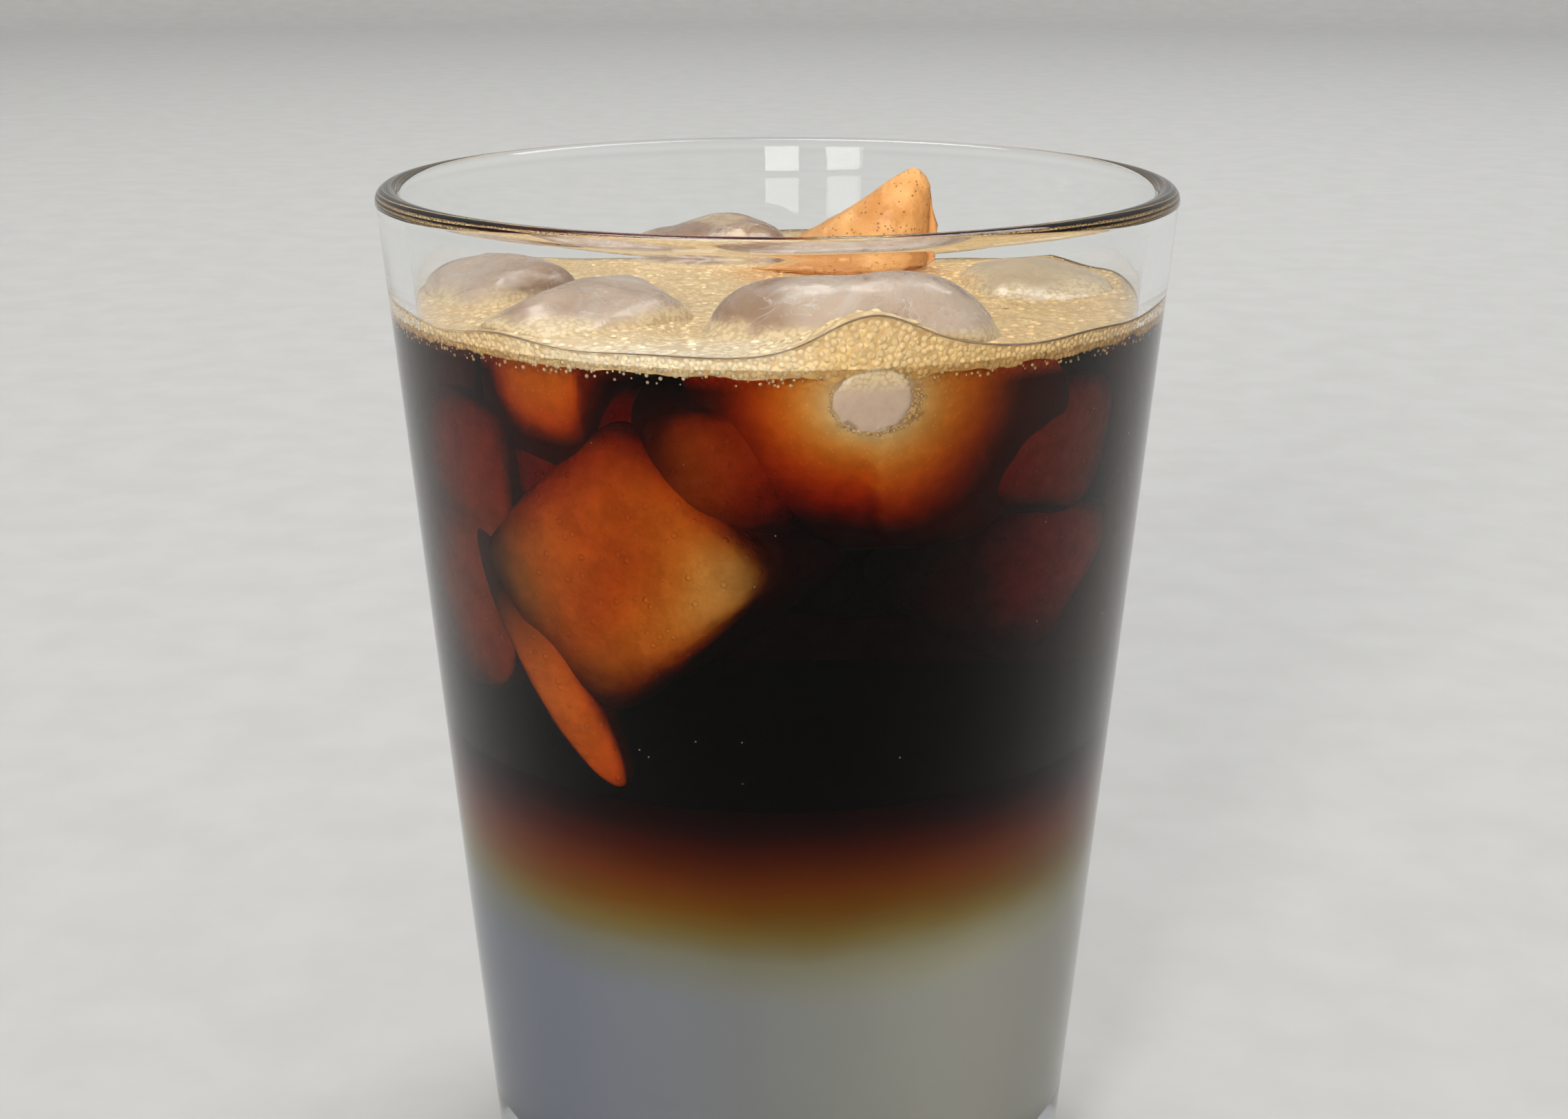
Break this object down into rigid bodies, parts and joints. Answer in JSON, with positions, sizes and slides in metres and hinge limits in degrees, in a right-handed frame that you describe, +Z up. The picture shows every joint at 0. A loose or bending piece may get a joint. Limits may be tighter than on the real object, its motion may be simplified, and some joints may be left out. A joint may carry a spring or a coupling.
{
  "type": "iced coffee in a glass",
  "caption": "Tapered clear tumbler of layered iced coffee: clear layer, dark coffee and pale foam, with melting ice blocks and a peak of thick crema standing out of the foam.",
  "frame": {"origin": "middle of the glass's underside", "axes": "+Z up along the glass's axis, -Y towards the side shown in the picture, +X to that view's right"},
  "size_m": [0.086, 0.086, 0.116],
  "materials": {
    "glass": "clear, fire-polished",
    "clear_layer": "clear mixer, slightly hazy",
    "coffee": "dark coffee, amber where it is thin",
    "foam": "fine wet foam",
    "crema": "thick crema with small pores",
    "ice": "wet melting ice with trapped bubbles"
  },
  "bodies": {
    "root": {"glass": "glass", "clear_layer": "clear_layer", "amber_layer": "coffee", "coffee_layer": "coffee", "crema_layer": "foam", "crema_peak": "crema", "ice_front": "ice", "ice_left": "ice", "ice_far_left": "ice", "ice_back": "ice", "ice_right": "ice"}
  },
  "joints": []
}
